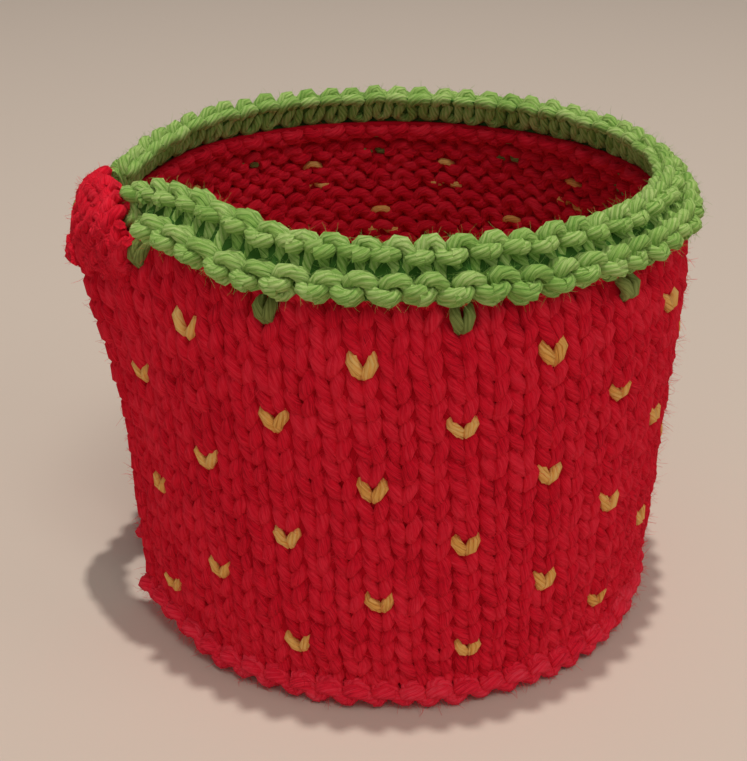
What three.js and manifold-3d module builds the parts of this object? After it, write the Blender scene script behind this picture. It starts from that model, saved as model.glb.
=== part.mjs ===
// A knitted mug cosy standing on its hem, in millimetres, +Z up, with its slot towards -X.
// Its pieces are the stockinette panel, the garter collar above it and the strap over the slot.

import * as THREE from 'three';
import { mergeVertices } from 'three/addons/utils/BufferGeometryUtils.js';
import Module from 'manifold-3d';

// Driving dimensions. Heights are above the hem, and turns are degrees round from the slot.
const CLOTH_THICK = 3.0;
const PANEL_TOP = 74;
const COLLAR_TOP = 82;
const STRAP_BOTTOM = 67;
const STRAP_TOP = 82.8;
const PIECE_GAP = 0.3;
const SLOT_WIDTH = 18.6;
const SLOT_NECK = 7.4;
const SLOT_SHOULDER = 34;
const ARCH_SIDE = 0.6;
const ARCH_TOP = 0.85;

// The wall by height: its round radius, and how far its two flanks reach out where they meet over the slot.
const WALL = [
  { z: 0, round: 45.8, reach: 51.3 },
  { z: 8, round: 47.0, reach: 51.2 },
  { z: 16, round: 47.7, reach: 51.2 },
  { z: 26, round: 48.0, reach: 51.6 },
  { z: 45, round: 48.4, reach: 52.6 },
  { z: 57, round: 48.9, reach: 55.0 },
  { z: 63, round: 49.1, reach: 56.6 },
  { z: 69, round: 49.1, reach: 57.2 },
  { z: 73, round: 48.7, reach: 56.4 },
  { z: 76, round: 47.8, reach: 54.9 },
  { z: 79, round: 45.5, reach: 52.6 },
  { z: 83, round: 42.2, reach: 50.2 },
];
const PEAK_ROUND = THREE.MathUtils.degToRad(9);
const PEAK_SHARE = 0.55;
const FLANK_SOFT = 0.12;
const OVAL = 1.1;

// The strap pulls the top edge down, out to this turn on either side of it.
const PULL_DEPTH = 3.0;
const PULL_TURN = THREE.MathUtils.degToRad(45);
const PULL_POWER = 1.5;

// Places where the hem curls up: the two free corners, and a slack stretch far from the slot.
const HEM_CURLS = [
  { turn: 16, lift: 4.0, spread: 24 },
  { turn: 153, lift: 2.0, spread: 28 },
  { turn: 344, lift: 2.5, spread: 20 },
];
const HEM_CURL_HEIGHT = 18;

// The collar leans off the flanks towards its top, and its front end rides up, most at its lower edge.
const COLLAR_HUG = 0.3;
const COLLAR_END = { turn: 25, lift: 4.0, spread: 30 };
const COLLAR_END_SHARE = [
  { z: 52, share: 0 },
  { z: PANEL_TOP, share: 1 },
  { z: 83, share: 0.5 },
];

// The hem ridge and the collar's two ridges, as sections: height and distance out from the wall.
const HEM_OUTSIDE = [
  { z: 0, out: -0.4 },
  { z: 1.2, out: 0.7 },
  { z: 3.0, out: 1.0 },
  { z: 4.8, out: 0.7 },
  { z: 6.2, out: 0 },
];
const PANEL_ROWS = 12;
const COLLAR_OUTSIDE = [
  { z: PANEL_TOP + PIECE_GAP, out: 0.3 },
  { z: 75.0, out: 1.5 },
  { z: 76.3, out: 2.1 },
  { z: 77.5, out: 1.3 },
  { z: 78.4, out: 0.2 },
  { z: 79.2, out: 0.7 },
  { z: 80.2, out: 1.3 },
  { z: 81.2, out: 0.9 },
  { z: 81.8, out: -0.2 },
];
const COLLAR_INSIDE = [
  { z: COLLAR_TOP, out: -1.4 },
  { z: 81.4, out: -2.6 },
  { z: 80.0, out: -3.4 },
  { z: 78.2, out: -4.2 },
  { z: 76.0, out: -4.0 },
  { z: PANEL_TOP + PIECE_GAP, out: -3.2 },
];

// The strap is thicker than the panel, with soft garter ridges across its outside.
// Its outline from the slot's side slants up and back, from under the collar's front end to its peak,
// and its last two corners stand clear above the cloth.
const STRAP_OUTLINE = [
  { y: 6, z: STRAP_BOTTOM },
  { y: -16.5, z: STRAP_BOTTOM },
  { y: -22.5, z: 76.5 },
  { y: -8.5, z: 82.8 },
  { y: -7, z: 100 },
  { y: 6, z: 100 },
];
const STRAP_OUTSIDE = 0.3;
const STRAP_INSIDE = -3.8;
const STRAP_EDGE = 0.2;
const STRAP_TAPER = 6;
const STRAP_RIDGE = 0.8;
const STRAP_RIDGES = 4;
const STEPS_PER_RIDGE = 4;

// Turns between sections: close together near the slot, wider on the round wall.
const NEAR_TURN = 30;
const NEAR_STEP = 3;
const FAR_STEPS = 60;

// Cutters run well past the cloth on every side.
const CUT_INNER = 30;
const CUT_OUTER = 75;
const CUT_BELOW = -8;
const ARCH_STEPS = 10;
const STRAP_TRIM = 2;

const wasm = await Module();
wasm.setup();

// One column of a table at a height, on the straight line between its rows.
function tableAt(table, column, z) {
  const above = Math.max(table.findIndex((row) => row.z >= z), 1);
  const high = table[above];
  const low = table[above - 1];
  const share = Math.max((z - low.z) / (high.z - low.z), 0);
  return THREE.MathUtils.lerp(low[column], high[column], share);
}

// The shortest signed turn, in radians, from one bearing to another.
function turnBetween(turn, from) {
  return Math.atan2(Math.sin(turn - from), Math.cos(turn - from));
}

// How far the wall leans off its round plan: zero on the round, rising along the flank to the peak.
function flankLean(turn, z) {
  const flank = Math.acos(tableAt(WALL, 'round', z) / tableAt(WALL, 'reach', z));
  const spread = flank + PEAK_SHARE * PEAK_ROUND;
  const lean = spread - Math.hypot(turnBetween(turn, 0), PEAK_ROUND);
  return 0.5 * (lean + Math.hypot(lean, FLANK_SOFT));
}

// How far the strap pulls the cloth down at a place.
function pullDown(turn, z) {
  const share = Math.min(Math.abs(turnBetween(turn, 0)) / PULL_TURN, 1);
  return PULL_DEPTH * Math.cos(share * Math.PI / 2) ** 2 * (z / COLLAR_TOP) ** PULL_POWER;
}

// The lift at a turn near a place where the cloth rides up.
function liftNear(place, turn) {
  const away = Math.abs(turnBetween(turn, THREE.MathUtils.degToRad(place.turn)));
  const share = Math.min(away / THREE.MathUtils.degToRad(place.spread), 1);
  return place.lift * Math.cos(share * Math.PI / 2) ** 2;
}

// How far the cloth rides up at a place: at the hem's curls, and under the collar's front end.
function rideUp(turn, z) {
  const fade = Math.max(1 - z / HEM_CURL_HEIGHT, 0) ** 2;
  const curl = Math.max(...HEM_CURLS.map((place) => liftNear(place, turn)));
  return fade * curl + tableAt(COLLAR_END_SHARE, 'share', z) * liftNear(COLLAR_END, turn);
}

// A point of the cloth, by its turn, height, distance out from the wall and how far it hugs the round.
function clothPoint(turn, { z, out, hug = 0 }) {
  const lean = (1 - hug) * flankLean(turn, z);
  const radius = (tableAt(WALL, 'round', z) + out) / Math.cos(lean) + OVAL * Math.cos(2 * turn);
  const height = z - (1 - hug) * pullDown(turn, z) + rideUp(turn, z);
  return [-radius * Math.cos(turn), -radius * Math.sin(turn), height];
}

// The turns at which the cloth is drawn, once round.
function allTurns() {
  const turns = [];
  for (let turn = -NEAR_TURN; turn < NEAR_TURN; turn += NEAR_STEP) {
    turns.push(turn);
  }
  const farStep = (360 - 2 * NEAR_TURN) / FAR_STEPS;
  for (let step = 0; step < FAR_STEPS; step += 1) {
    turns.push(NEAR_TURN + step * farStep);
  }
  return turns.map((turn) => THREE.MathUtils.degToRad(turn));
}

// A closed ring of cloth: the section, outside up and inside down, carried once round.
function ringOf(section) {
  const turns = allTurns();
  const count = section.length;
  const points = turns.flatMap((turn) => section.flatMap((row) => clothPoint(turn, row)));
  const faces = [];
  for (let station = 0; station < turns.length; station += 1) {
    const here = station * count;
    const next = ((station + 1) % turns.length) * count;
    for (let row = 0; row < count; row += 1) {
      const up = (row + 1) % count;
      faces.push(here + row, next + row, next + up);
      faces.push(here + row, next + up, here + up);
    }
  }
  const ring = new THREE.BufferGeometry();
  ring.setAttribute('position', new THREE.Float32BufferAttribute(points, 3));
  ring.setIndex(faces);
  return ring;
}

// A three.js geometry as a solid that can be cut, and a solid back as a geometry.
function toSolid(geometry) {
  geometry.deleteAttribute('normal');
  geometry.deleteAttribute('uv');
  const merged = mergeVertices(geometry);
  return new wasm.Manifold(new wasm.Mesh({
    numProp: 3,
    vertProperties: new Float32Array(merged.getAttribute('position').array),
    triVerts: new Uint32Array(merged.getIndex().array),
  }));
}

function toGeometry(solid) {
  const mesh = solid.getMesh();
  const geometry = new THREE.BufferGeometry();
  geometry.setAttribute('position', new THREE.Float32BufferAttribute(mesh.vertProperties, 3));
  geometry.setIndex(Array.from(mesh.triVerts));
  geometry.computeVertexNormals();
  return geometry;
}

// An outline of y and z, as a solid that runs across the cloth on the slot's side.
function acrossCloth(outline) {
  const cutter = new THREE.ExtrudeGeometry(outline, {
    depth: CUT_OUTER - CUT_INNER,
    bevelEnabled: false,
    curveSegments: ARCH_STEPS,
  });
  const acrossThenUp = new THREE.Matrix4().makeBasis(
    new THREE.Vector3(0, 1, 0),
    new THREE.Vector3(0, 0, 1),
    new THREE.Vector3(1, 0, 0),
  );
  cutter.applyMatrix4(acrossThenUp);
  cutter.translate(-CUT_OUTER, 0, 0);
  return toSolid(cutter);
}

// The strap's outline, with each corner moved out so that its sides keep a clearance.
function strapBlock(clearance) {
  const corners = STRAP_OUTLINE.map((corner) => new THREE.Vector2(corner.y, corner.z));
  const moved = corners.map((corner, place) => {
    const last = corners.at(place - 1);
    const next = corners[(place + 1) % corners.length];
    const inward = corner.clone().sub(last).normalize();
    const onward = next.clone().sub(corner).normalize();
    const out = new THREE.Vector2(-inward.y - onward.y, inward.x + onward.x).normalize();
    const slant = out.x * -onward.y + out.y * onward.x;
    return corner.clone().addScaledVector(out, clearance / slant);
  });
  return acrossCloth(new THREE.Shape(moved));
}

// The slot: straight sides that arch in to a neck under the strap.
function slotCutter() {
  const half = SLOT_WIDTH / 2;
  const neck = SLOT_NECK / 2;
  const rise = STRAP_BOTTOM - SLOT_SHOULDER;
  const side = SLOT_SHOULDER + rise * ARCH_SIDE;
  const crown = SLOT_SHOULDER + rise * ARCH_TOP;
  const turnIn = neck + (half - neck) * ARCH_SIDE;
  const top = STRAP_BOTTOM + PIECE_GAP;
  const outline = new THREE.Shape();
  outline.moveTo(-half, CUT_BELOW);
  outline.lineTo(half, CUT_BELOW);
  outline.lineTo(half, SLOT_SHOULDER);
  outline.bezierCurveTo(half, side, turnIn, crown, neck, top);
  outline.lineTo(-neck, top);
  outline.bezierCurveTo(-turnIn, crown, -half, side, -half, SLOT_SHOULDER);
  outline.closePath();
  return acrossCloth(outline);
}

// The red panel: hem ridge, plain wall and top edge outside, a smooth inside, cut for slot and strap.
function makePanel() {
  const ridgeTop = HEM_OUTSIDE.at(-1).z;
  const rise = (PANEL_TOP - ridgeTop) / PANEL_ROWS;
  const section = [...HEM_OUTSIDE];
  for (let row = 1; row <= PANEL_ROWS; row += 1) {
    section.push({ z: ridgeTop + row * rise, out: 0 });
  }
  for (let row = PANEL_ROWS; row >= 0; row -= 1) {
    section.push({ z: ridgeTop + row * rise, out: -CLOTH_THICK });
  }
  section.push({ z: 0, out: -CLOTH_THICK });
  return toGeometry(toSolid(ringOf(section)).subtract(slotCutter()).subtract(strapBlock(PIECE_GAP)));
}

// The green collar: two garter ridges that lean in towards the top, open where the strap goes.
function makeCollar() {
  const section = [...COLLAR_OUTSIDE, ...COLLAR_INSIDE].map((row) => {
    const rise = (row.z - PANEL_TOP) / (COLLAR_TOP - PANEL_TOP);
    return { ...row, hug: COLLAR_HUG * rise };
  });
  const ring = toSolid(ringOf(section));
  return toGeometry(ring.subtract(strapBlock(PIECE_GAP)));
}

// The strap: a short length of thick cloth bent across the slot, thinner at its top edge.
function makeStrap() {
  const low = STRAP_BOTTOM - STRAP_TRIM;
  const steps = STRAP_RIDGES * STEPS_PER_RIDGE;
  const outside = [];
  const inside = [];
  for (let step = 0; step <= steps; step += 1) {
    const z = THREE.MathUtils.lerp(low, STRAP_TOP, step / steps);
    const swell = Math.abs(Math.sin(Math.PI * step / STEPS_PER_RIDGE));
    outside.push({ z, out: STRAP_OUTSIDE + STRAP_RIDGE * swell });
    if (step % 2 === 0) {
      const share = Math.min(STRAP_EDGE + (STRAP_TOP - z) / STRAP_TAPER, 1);
      inside.unshift({ z, out: STRAP_INSIDE * share });
    }
  }
  const ring = toSolid(ringOf([...outside, ...inside]));
  return toGeometry(ring.intersect(strapBlock(0)));
}

const redYarn = { color: 0xa8141e, roughness: 0.95, metalness: 0 };
const greenYarn = { color: 0x6f9a3f, roughness: 0.95, metalness: 0 };
const pieces = [
  { name: 'body_panel', geometry: makePanel(), yarn: redYarn },
  { name: 'collar', geometry: makeCollar(), yarn: greenYarn },
  { name: 'handle_strap', geometry: makeStrap(), yarn: redYarn },
];

// The origin is level with the hem, under the middle of the cosy's box.
const cosy = new THREE.Group();
for (const piece of pieces) {
  const mesh = new THREE.Mesh(piece.geometry, new THREE.MeshStandardMaterial(piece.yarn));
  mesh.name = piece.name;
  cosy.add(mesh);
}
const middle = new THREE.Box3().setFromObject(cosy).getCenter(new THREE.Vector3());
cosy.position.set(-middle.x, -middle.y, 0);

export default cosy;
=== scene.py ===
import math

import bpy
import numpy as np
from mathutils import Matrix, Vector


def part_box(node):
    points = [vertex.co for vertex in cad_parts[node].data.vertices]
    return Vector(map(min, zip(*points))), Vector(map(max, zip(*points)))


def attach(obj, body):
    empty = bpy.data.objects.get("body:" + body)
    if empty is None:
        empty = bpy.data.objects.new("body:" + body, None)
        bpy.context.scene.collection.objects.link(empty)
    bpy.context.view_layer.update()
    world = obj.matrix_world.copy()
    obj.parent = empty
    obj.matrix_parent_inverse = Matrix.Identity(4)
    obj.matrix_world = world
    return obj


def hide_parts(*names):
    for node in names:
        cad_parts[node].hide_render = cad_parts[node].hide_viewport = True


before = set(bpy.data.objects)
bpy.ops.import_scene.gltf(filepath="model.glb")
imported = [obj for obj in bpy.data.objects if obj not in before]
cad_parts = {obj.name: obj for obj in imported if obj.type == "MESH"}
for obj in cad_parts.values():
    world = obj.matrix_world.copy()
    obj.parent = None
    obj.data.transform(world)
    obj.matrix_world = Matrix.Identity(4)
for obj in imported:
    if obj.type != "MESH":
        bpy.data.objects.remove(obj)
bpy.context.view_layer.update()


# Panel cloth
# The panel is one knitted rectangle of red wool, wrapped into a ring that stands on its hem.
# Its two side edges bound the slot at -X. This thin sheet is the depth of the knit between the
# front and the back of its stitches; lengths are in millimetres until a point is placed.
MM = 0.001
STITCH_COLUMNS = 60
ROW_RISE = 3.518
FIRST_SEED_ROW = 11.56
PANEL_HIGH = 74.0
COSY_HIGH = 82.0

# The wall by height above the hem: its round radius, and how far its flanks reach over the slot.
WALL_HEIGHT = (0, 8, 16, 26, 45, 57, 63, 69, 73, 76, 79, 83)
WALL_ROUND = (45.8, 47.0, 47.7, 48.0, 48.4, 48.9, 49.1, 49.1, 48.7, 47.8, 45.5, 42.2)
WALL_REACH = (51.3, 51.2, 51.2, 51.6, 52.6, 55.0, 56.6, 57.2, 56.4, 54.9, 52.6, 50.2)
PEAK_ROUND = math.radians(9)
PEAK_SHARE = 0.55
FLANK_SOFT = 0.12
OVAL = 1.1
AXIS_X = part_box("body_panel")[1].x / MM - max(WALL_ROUND) - OVAL

# The strap pulls the top edge down, and the hem curls up in three places (turn, lift, spread).
PULL_DEPTH = 3.0
PULL_TURN = math.radians(45)
PULL_POWER = 1.5
HEM_CURLS = ((16, 4.0, 24), (153, 2.0, 28), (344, 2.5, 20))
HEM_CURL_HIGH = 18

# Under the collar's front end the cloth rides up (turn, lift, spread), by this share at each height.
END_LIFT = (25, 4.0, 30)
END_LIFT_HEIGHT = (52, PANEL_HIGH, 83)
END_LIFT_SHARE = (0, 1, 0.5)

# The slot: straight sides up to a shoulder, then an arch in to a neck under the strap.
SLOT_HALF = 9.3
SLOT_NECK_HALF = 3.7
SLOT_SHOULDER = 34
SLOT_NEAR = math.radians(60)
STRAP_BOTTOM = 67.0
ARCH_RISE = 2.2
ARCH_ROUND = 0.67

# Stitch columns lean towards the slot as they rise, and follow its edges where they are near it.
COLUMN_LEAN = 0.0653
LEAN_MIDDLE = 40
EDGE_FADE = 25
MEASURED_AT = 45


def short_turn(turn):
    """A turn in radians as the shortest signed turn from the slot."""
    return np.arctan2(np.sin(turn), np.cos(turn))


def lift_near(place, turn):
    """The lift, at each turn, of a place where the cloth rides up."""
    middle, lift, spread = place
    away = np.abs(short_turn(turn - math.radians(middle))) / math.radians(spread)
    return lift * np.cos(np.minimum(away, 1) * math.pi / 2) ** 2


def cloth_point(turn, height, out, hug=0):
    """Points of the cloth in metres, by turn from the slot, height above the hem and distance out.

    Where it hugs, the cloth leans off its flanks on to the round wall.
    """
    turn, height, out, hug = np.broadcast_arrays(turn, height, out, hug)
    round_wall = np.interp(height, WALL_HEIGHT, WALL_ROUND)
    spread = np.arccos(round_wall / np.interp(height, WALL_HEIGHT, WALL_REACH)) + PEAK_SHARE * PEAK_ROUND
    lean = spread - np.hypot(short_turn(turn), PEAK_ROUND)
    lean = 0.5 * (lean + np.hypot(lean, FLANK_SOFT)) * (1 - hug)
    radius = (round_wall + out) / np.cos(lean) + OVAL * np.cos(2 * turn)
    near_strap = np.minimum(np.abs(short_turn(turn)) / PULL_TURN, 1)
    risen = np.maximum(height, 0) / COSY_HIGH
    pull = PULL_DEPTH * np.cos(near_strap * math.pi / 2) ** 2 * risen ** PULL_POWER * (1 - hug)
    curl = np.maximum.reduce([lift_near(place, turn) for place in HEM_CURLS])
    curl = curl * np.clip(1 - height / HEM_CURL_HIGH, 0, 1) ** 2
    ride = lift_near(END_LIFT, turn) * np.interp(height, END_LIFT_HEIGHT, END_LIFT_SHARE)
    points = (AXIS_X - radius * np.cos(turn), -radius * np.sin(turn), height - pull + curl + ride)
    return np.stack(points, axis=-1) * MM


def slot_half_width(height):
    """Half the slot's width at a height, in millimetres."""
    risen = np.clip((height - SLOT_SHOULDER) / (STRAP_BOTTOM - SLOT_SHOULDER), 0, 1)
    return SLOT_NECK_HALF + (SLOT_HALF - SLOT_NECK_HALF) * (1 - risen ** ARCH_RISE) ** ARCH_ROUND


HALF_TURN_STEPS = 720
HALF_TURNS = np.linspace(0, math.pi, HALF_TURN_STEPS + 1)


def arc_lengths(height):
    """Millimetres along the cloth at one height, from the slot's middle to each of the half turns."""
    points = cloth_point(HALF_TURNS, height, 0)[:, :2] / MM
    steps = np.hypot(*np.diff(points, axis=0).T)
    return np.concatenate(([0], np.cumsum(steps)))


PANEL_ARC = arc_lengths(MEASURED_AT)


def slot_edge_turn(height):
    """The turn at which the slot's edge stands, at a height."""
    near = HALF_TURNS < SLOT_NEAR
    points = cloth_point(HALF_TURNS[near], height, 0)
    return np.interp(slot_half_width(height), -points[:, 1] / MM, HALF_TURNS[near])


EDGE_ARC = np.interp(slot_edge_turn(MEASURED_AT), HALF_TURNS, PANEL_ARC)
PANEL_WIDE = 2 * (PANEL_ARC[-1] - EDGE_ARC)
STITCH_WIDE = PANEL_WIDE / STITCH_COLUMNS


def panel_turns(across, height):
    """The turns of the places that lie at some distances across the flat panel, at one height."""
    straight = PANEL_ARC - EDGE_ARC + COLUMN_LEAN * (height - LEAN_MIDDLE) * np.sin(HALF_TURNS)
    edge = np.interp(slot_edge_turn(height), HALF_TURNS, straight)
    columns = straight - edge * np.exp(-(straight - edge) / EDGE_FADE)
    from_edge = np.where(across < PANEL_WIDE / 2, across, PANEL_WIDE - across)
    turns = np.interp(from_edge, columns, HALF_TURNS)
    return np.where(across < PANEL_WIDE / 2, turns, -turns)


def grid_faces(columns, rows, first=0):
    """The quads of a grid of points that is stored column by column."""
    corner = first + np.arange(columns - 1)[:, None] * rows + np.arange(rows - 1)[None, :]
    return np.stack((corner, corner + rows, corner + rows + 1, corner + 1), axis=-1).reshape(-1, 4)


def new_object(name, points, faces):
    """An object at the origin whose mesh has these points and faces, smoothly shaded."""
    mesh = bpy.data.meshes.new(name)
    mesh.from_pydata(np.asarray(points).reshape(-1, 3).tolist(), [], [list(face) for face in faces])
    mesh.shade_smooth()
    made = bpy.data.objects.new(name, mesh)
    bpy.context.scene.collection.objects.link(made)
    return made


def thin_cloth(name, turn, height, front, back, hug=0):
    """A closed thin sheet over a grid of places, between two distances out from the wall."""
    columns, rows = turn.shape
    count = columns * rows
    points = np.concatenate([cloth_point(turn, height, out, hug).reshape(-1, 3) for out in (front, back)])
    outside = grid_faces(columns, rows)
    inside = grid_faces(columns, rows, count)[:, ::-1]
    column, row = np.arange(columns), np.arange(rows)
    rim = np.concatenate((column * rows, (columns - 1) * rows + row[1:],
                          (column[::-1] * rows + rows - 1)[1:], row[::-1][1:-1]))
    following = np.roll(rim, -1)
    sides = np.stack((following, rim, rim + count, following + count), axis=-1)
    return new_object(name, points, np.concatenate((outside, inside, sides)))


def linear(red, green, blue):
    """A colour as seen, from 0 to 255, in the renderer's linear values."""
    seen = np.array((red, green, blue)) / 255
    return (*np.where(seen <= 0.04045, seen / 12.92, ((seen + 0.055) / 1.055) ** 2.4), 1.0)


def node(tree, kind, inputs=None, **settings):
    """A node of a tree, with its settings, and its inputs by name or place as values or links."""
    made = tree.nodes.new(kind)
    for key, value in settings.items():
        setattr(made, key, value)
    for key, value in (inputs or {}).items():
        if isinstance(value, bpy.types.NodeSocket):
            tree.links.new(value, made.inputs[key])
        else:
            made.inputs[key].default_value = value
    return made


def math_node(tree, operation, *values):
    """The result of one sum on numbers or links."""
    return node(tree, "ShaderNodeMath", dict(enumerate(values)), operation=operation).outputs[0]


def wool(name, deep, middle, light, bump_depth, ply_share, sheen):
    """Matt plied wool: its colour and bump follow the strands that twist along the yarn."""
    plies = 7
    ply_length = 10.0 * MM
    streaks_around = 4.0
    streaks_along = 320
    streak_shift = 97
    streak_scale = 1.6
    blotch_scale = 190
    fibre_weight = 1.1
    blotch_weight = 0.4
    tone_weight = 0.16
    darkening = 0.5 * ply_share + 0.15
    deep_at = 0.35
    middle_at = 0.66
    material = bpy.data.materials.new(name)
    material.use_nodes = True
    tree = material.node_tree
    shader = tree.nodes["Principled BSDF"]
    around = node(tree, "ShaderNodeAttribute", attribute_name="around")
    along = node(tree, "ShaderNodeAttribute", attribute_name="along")
    tone = node(tree, "ShaderNodeAttribute", attribute_name="tone")
    parts = node(tree, "ShaderNodeSeparateXYZ", {0: around.outputs["Vector"]})
    angle = math_node(tree, "ARCTAN2", parts.outputs["Y"], parts.outputs["X"])
    turned = math_node(tree, "MULTIPLY_ADD", along.outputs["Fac"], 2 * math.pi / ply_length, angle)
    strand = math_node(tree, "SINE", math_node(tree, "MULTIPLY", turned, plies))
    strand = math_node(tree, "SQRT", math_node(tree, "MULTIPLY_ADD", strand, 0.5, 0.5))
    streak_place = node(tree, "ShaderNodeCombineXYZ", {
        "X": math_node(tree, "MULTIPLY", math_node(tree, "COSINE", turned), streaks_around),
        "Y": math_node(tree, "MULTIPLY", math_node(tree, "SINE", turned), streaks_around),
        "Z": math_node(tree, "MULTIPLY_ADD", along.outputs["Fac"], streaks_along,
                       math_node(tree, "MULTIPLY", tone.outputs["Fac"], streak_shift))})
    fibres = node(tree, "ShaderNodeTexNoise", {
        "Vector": streak_place.outputs[0], "Scale": streak_scale,
        "Detail": 4, "Roughness": 0.65}).outputs["Fac"]
    place = node(tree, "ShaderNodeTexCoord").outputs["Object"]
    blotch = node(tree, "ShaderNodeTexNoise",
                  {"Vector": place, "Scale": blotch_scale, "Detail": 3}).outputs["Fac"]
    # Darker colour in the ply grooves is painted shade; streaks, blotches and tone are the wool's own.
    mixed = math_node(tree, "MULTIPLY", strand, ply_share)
    mixed = math_node(tree, "MULTIPLY_ADD", fibres, fibre_weight, mixed)
    mixed = math_node(tree, "MULTIPLY_ADD", blotch, blotch_weight, mixed)
    mixed = math_node(tree, "MULTIPLY_ADD", tone.outputs["Fac"], tone_weight, mixed)
    mixed = math_node(tree, "SUBTRACT", mixed, darkening)
    ramp = node(tree, "ShaderNodeValToRGB", {0: mixed})
    stops = ramp.color_ramp.elements
    stops[0].position = deep_at
    stops[0].color = deep
    stops[1].position = 1.0
    stops[1].color = light
    middle_stop = stops.new(middle_at)
    middle_stop.color = middle
    tree.links.new(ramp.outputs["Color"], shader.inputs["Base Color"])
    relief = math_node(tree, "MULTIPLY_ADD", strand, 2 * ply_share, fibres)
    bump = node(tree, "ShaderNodeBump", {"Height": relief, "Strength": 1.0, "Distance": bump_depth * MM})
    tree.links.new(bump.outputs["Normal"], shader.inputs["Normal"])
    shader.inputs["Roughness"].default_value = 0.95
    shader.inputs["Specular IOR Level"].default_value = 0.1
    shader.inputs["Sheen Weight"].default_value = sheen
    shader.inputs["Sheen Roughness"].default_value = 0.5
    shader.inputs["Sheen Tint"].default_value = light
    return material


red_wool = wool("red_wool", linear(164, 6, 24), linear(230, 20, 46), linear(250, 54, 74),
                bump_depth=0.3, ply_share=0.12, sheen=0.6)
# The sheet behind the stitches is a darker red than the yarn: painted shade for the gaps between the loops.
red_painted_shade = wool("red_wool_depth", linear(160, 6, 24), linear(206, 14, 38), linear(228, 28, 52),
                 bump_depth=0.3, ply_share=0.0, sheen=0.4)

# The top rows are drawn in under the collar.
TUCKED_HEIGHT = (60, 66, 70, 75)
TUCKED_PROUD = (0, -0.3, -1.1, -1.8)

# The thin sheet stops short of the sides and the bottom, and lies behind the face of the stitches.
PANEL_CORE_GRID = (180, 39)
PANEL_CORE_SIDE = 1.2
PANEL_CORE_LOW = 0.7
PANEL_CORE_OVER = 1.2
PANEL_CORE_BEHIND = 1.1
PANEL_CORE_THICK = 0.9
core_across = np.linspace(PANEL_CORE_SIDE, PANEL_WIDE - PANEL_CORE_SIDE, PANEL_CORE_GRID[0])
core_height = np.linspace(PANEL_CORE_LOW, PANEL_HIGH + PANEL_CORE_OVER, PANEL_CORE_GRID[1])
core_turn = np.stack([panel_turns(core_across, height) for height in core_height], axis=1)
core_out = np.interp(core_height, TUCKED_HEIGHT, TUCKED_PROUD) - PANEL_CORE_BEHIND
core_height = np.tile(core_height, (core_across.size, 1))
panel_cloth = thin_cloth("panel_cloth", core_turn, core_height, core_out, core_out - PANEL_CORE_THICK)
panel_cloth.data.materials.append(red_painted_shade)
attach(panel_cloth, "root")
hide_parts("body_panel")


# Panel stitches
# Stocking stitch, knitted flat: each row is one strand of red wool in loops that pass up through the
# row below, so the front shows columns of V shapes and the back shows purl bumps. The hem is one ridge
# of garter stitch, and a narrow column of stitches runs up each side edge.
LOOP_POINTS = 14
YARN_SIDES = 6
LOOP_OVERRUN = 0.25

# How far chance moves a loop of slack 1: its tilt, size and girth, and the noise that shifts its yarn.
TILT_MOST = 0.16
SIZE_MOST = 0.1
GIRTH_MOST = 0.08
DRIFT_SCALE = 210
DRIFT_SIZE = 1.8


def mesh_values(elements, name, width, kind):
    """One value or more of each element of a mesh, in one flat array."""
    values = np.zeros(len(elements) * width, kind)
    elements.foreach_get(name, values)
    return values


def flat_draft(name, turn, height, across, up, hug=0):
    """A scratch sheet whose UV map is the flat cloth, to carry stitches from flat to worn places."""
    columns, rows = turn.shape
    points = cloth_point(turn, height, 0, hug)
    outward = np.cross(np.gradient(points, axis=0), np.gradient(points, axis=1))
    outward /= np.linalg.norm(outward, axis=-1, keepdims=True)
    draft = new_object(name, points, grid_faces(columns, rows))
    mesh = draft.data
    normals = mesh.attributes.new("outward", "FLOAT_VECTOR", "POINT")
    normals.data.foreach_set("vector", outward.reshape(-1).astype(np.float32))
    flat = np.stack(np.meshgrid(np.linspace(0, 1, columns), np.linspace(0, 1, rows), indexing="ij"), axis=-1)
    corners = mesh_values(mesh.loops, "vertex_index", 1, np.int32)
    layer = mesh.uv_layers.new(name="flat")
    layer.data.foreach_set("uv", flat.reshape(-1, 2)[corners].reshape(-1).astype(np.float32))
    draft["low"] = (across[0], up[0])
    draft["size"] = (across[-1] - across[0], up[-1] - up[0])
    return draft


def new_tree(name, inputs, output):
    """A geometry tree with these named inputs, and its input and output sockets."""
    tree = bpy.data.node_groups.new(name, "GeometryNodeTree")
    for socket, kind in inputs.items():
        tree.interface.new_socket(socket, in_out="INPUT", socket_type="NodeSocket" + kind)
    tree.interface.new_socket(output, in_out="OUTPUT", socket_type="NodeSocketGeometry")
    return tree, tree.nodes.new("NodeGroupInput").outputs, tree.nodes.new("NodeGroupOutput").inputs[output]


def vector_node(tree, operation, *values):
    """The result of one sum on vectors."""
    return node(tree, "ShaderNodeVectorMath", dict(enumerate(values)), operation=operation).outputs[0]


def scaled(tree, vector, scale):
    """A vector times a number."""
    return node(tree, "ShaderNodeVectorMath", {0: vector, "Scale": scale}, operation="SCALE").outputs[0]


def named(tree, name, kind="FLOAT"):
    """A named attribute's value."""
    return node(tree, "GeometryNodeInputNamedAttribute", {"Name": name}, data_type=kind).outputs[0]


def store(tree, geometry, name, value, kind="FLOAT", domain="POINT"):
    """The geometry with a value kept on it by name."""
    kept = node(tree, "GeometryNodeStoreNamedAttribute", {"Geometry": geometry, "Name": name},
                data_type=kind, domain=domain)
    tree.links.new(value, kept.inputs["Value"])
    return kept.outputs[0]


def random_number(tree, low, high, seed, offset):
    """A seeded random number for each element."""
    seeded = math_node(tree, "ADD", seed, offset)
    return node(tree, "FunctionNodeRandomValue", {2: low, 3: high, 8: seeded}, data_type="FLOAT").outputs[1]


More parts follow.
